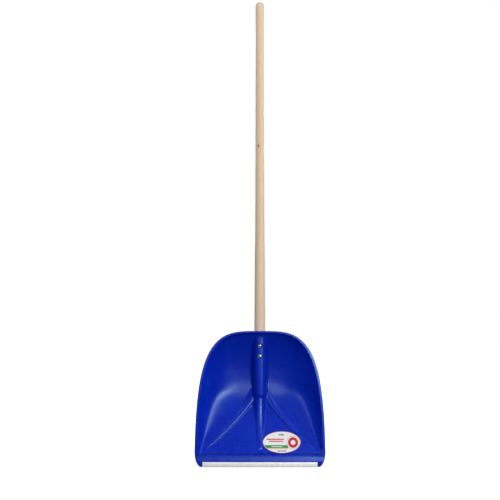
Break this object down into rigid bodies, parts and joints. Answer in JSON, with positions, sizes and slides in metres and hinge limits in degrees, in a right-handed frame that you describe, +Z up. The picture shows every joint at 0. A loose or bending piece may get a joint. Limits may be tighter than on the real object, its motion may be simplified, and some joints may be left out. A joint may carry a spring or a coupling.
{
  "type": "scoop shovel",
  "caption": "Wide moulded plastic scoop blade with ribs and an aluminium edge strip, screwed onto a long straight wooden handle.",
  "frame": {"origin": "middle of the lower face of the aluminium edge strip", "axes": "+Z up along the handle, -Y out of the hollow side of the blade, +X to the right seen from the hollow side"},
  "size_m": [0.387, 0.0871, 1.382],
  "materials": {
    "blue_plastic": "royal blue polypropylene, satin moulded face",
    "pale_wood": "planed and turned pale wood, unpainted",
    "screw_steel": "bright zinc plating",
    "strip_aluminium": "mill finish sheet",
    "rivet_aluminium": "plain",
    "label_film": null
  },
  "bodies": {
    "root": {"scoop_blade": "blue_plastic", "wooden_handle": "pale_wood", "handle_screw_upper": "screw_steel", "handle_screw_lower": "screw_steel", "edge_strip": "strip_aluminium", "strip_rivet_1": "rivet_aluminium", "strip_rivet_2": "rivet_aluminium", "strip_rivet_3": "rivet_aluminium", "strip_rivet_4": "rivet_aluminium", "oval_label": "label_film"}
  },
  "joints": []
}
